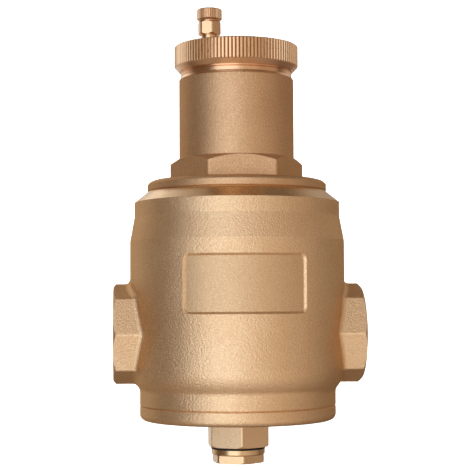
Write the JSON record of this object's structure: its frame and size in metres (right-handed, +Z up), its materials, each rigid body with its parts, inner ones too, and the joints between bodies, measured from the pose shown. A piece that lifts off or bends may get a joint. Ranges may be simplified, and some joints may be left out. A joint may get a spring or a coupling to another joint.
{
  "type": "in-line air separator with automatic float air vent",
  "caption": "Brass in-line air separator with an automatic float air vent on top, threaded pipe ports on both sides, a screwed bottom cover and a drain plug.",
  "frame": {"origin": "centre of the drain plug's bottom face, on the vertical axis of the body", "axes": "+Z up along the body's axis, +X along the pipe axis towards the outlet port, -Y towards the label panel"},
  "size_m": [0.1106, 0.0956, 0.2028],
  "materials": {
    "cast_brass": "sand-cast and blasted",
    "knurled_brass": "knurled, machined",
    "machined_brass": "turned and polished",
    "seal_rubber": "moulded",
    "stainless_steel": "stamped and drawn",
    "steel_mesh": "woven wire",
    "float_plastic": "moulded",
    "cage_plastic": "moulded, glass-filled"
  },
  "bodies": {
    "housing": {"separator_body": "cast_brass", "vent_chamber": "cast_brass", "bottom_cover": "cast_brass", "top_cover": "knurled_brass", "vent_nozzle": "machined_brass", "float_guide": "machined_brass", "vent_chamber_oring": "seal_rubber", "bottom_cover_oring": "seal_rubber", "top_cover_oring": "seal_rubber", "nozzle_oring": "seal_rubber", "guide_retaining_ring": "stainless_steel", "lever_bracket": "stainless_steel", "bracket_screws": "stainless_steel", "lever_pin": "stainless_steel", "lever_pin_clips": "stainless_steel", "mesh_outer": "steel_mesh", "mesh_middle": "steel_mesh", "mesh_inner": "steel_mesh", "cage_bottom_ring": "cage_plastic", "cage_top_ring": "cage_plastic", "cage_ribs": "cage_plastic"},
    "float_unit": {"vent_float": "float_plastic", "float_stem": "stainless_steel", "float_stem_clips": "stainless_steel"},
    "lever_unit": {"float_lever": "stainless_steel"},
    "valve_unit": {"valve_holder": "machined_brass", "valve_pad": "seal_rubber"},
    "vent_cap_carrier": {"vent_cap_seal": "seal_rubber"},
    "vent_cap_unit": {"vent_cap": "knurled_brass"},
    "drain_carrier": {"drain_plug_seal": "seal_rubber"},
    "drain_plug_unit": {"drain_plug": "machined_brass"}
  },
  "joints": [
    {"name": "float_travel", "type": "slide", "parent": "housing", "child": "float_unit", "axis": [0, 0, -1], "range_m": [0, 0.005]},
    {"name": "lever_swing", "type": "hinge", "parent": "housing", "child": "lever_unit", "pos_m": [-0.017, 0, 0.1715], "axis": [0, 1, 0], "range_deg": [0, 17]},
    {"name": "valve_travel", "type": "slide", "parent": "housing", "child": "valve_unit", "axis": [0, 0, -1], "range_m": [0, 0.0015]},
    {"name": "vent_cap_lift", "type": "slide", "parent": "housing", "child": "vent_cap_carrier", "axis": [0, 0, 1], "range_m": [0, 0.00201]},
    {"name": "vent_cap_turn", "type": "hinge", "parent": "vent_cap_carrier", "child": "vent_cap_unit", "pos_m": [-0.012, 0, 0.2], "axis": [0, 0, 1], "range_deg": [0, 720]},
    {"name": "drain_plug_lift", "type": "slide", "parent": "housing", "child": "drain_carrier", "axis": [0, 0, -1], "range_m": [0, 0.00908]},
    {"name": "drain_plug_turn", "type": "hinge", "parent": "drain_carrier", "child": "drain_plug_unit", "pos_m": [0, 0, 0.005], "axis": [0, 0, -1], "range_deg": [0, 1800]}
  ],
  "couplings": [
    {"joint": "lever_swing", "follows": "float_travel", "rad_per_m": 58.824},
    {"joint": "valve_travel", "follows": "float_travel", "ratio": 0.29412},
    {"joint": "vent_cap_lift", "follows": "vent_cap_turn", "m_per_rad": 0.00015915},
    {"joint": "drain_plug_lift", "follows": "drain_plug_turn", "m_per_rad": 0.00028871}
  ]
}
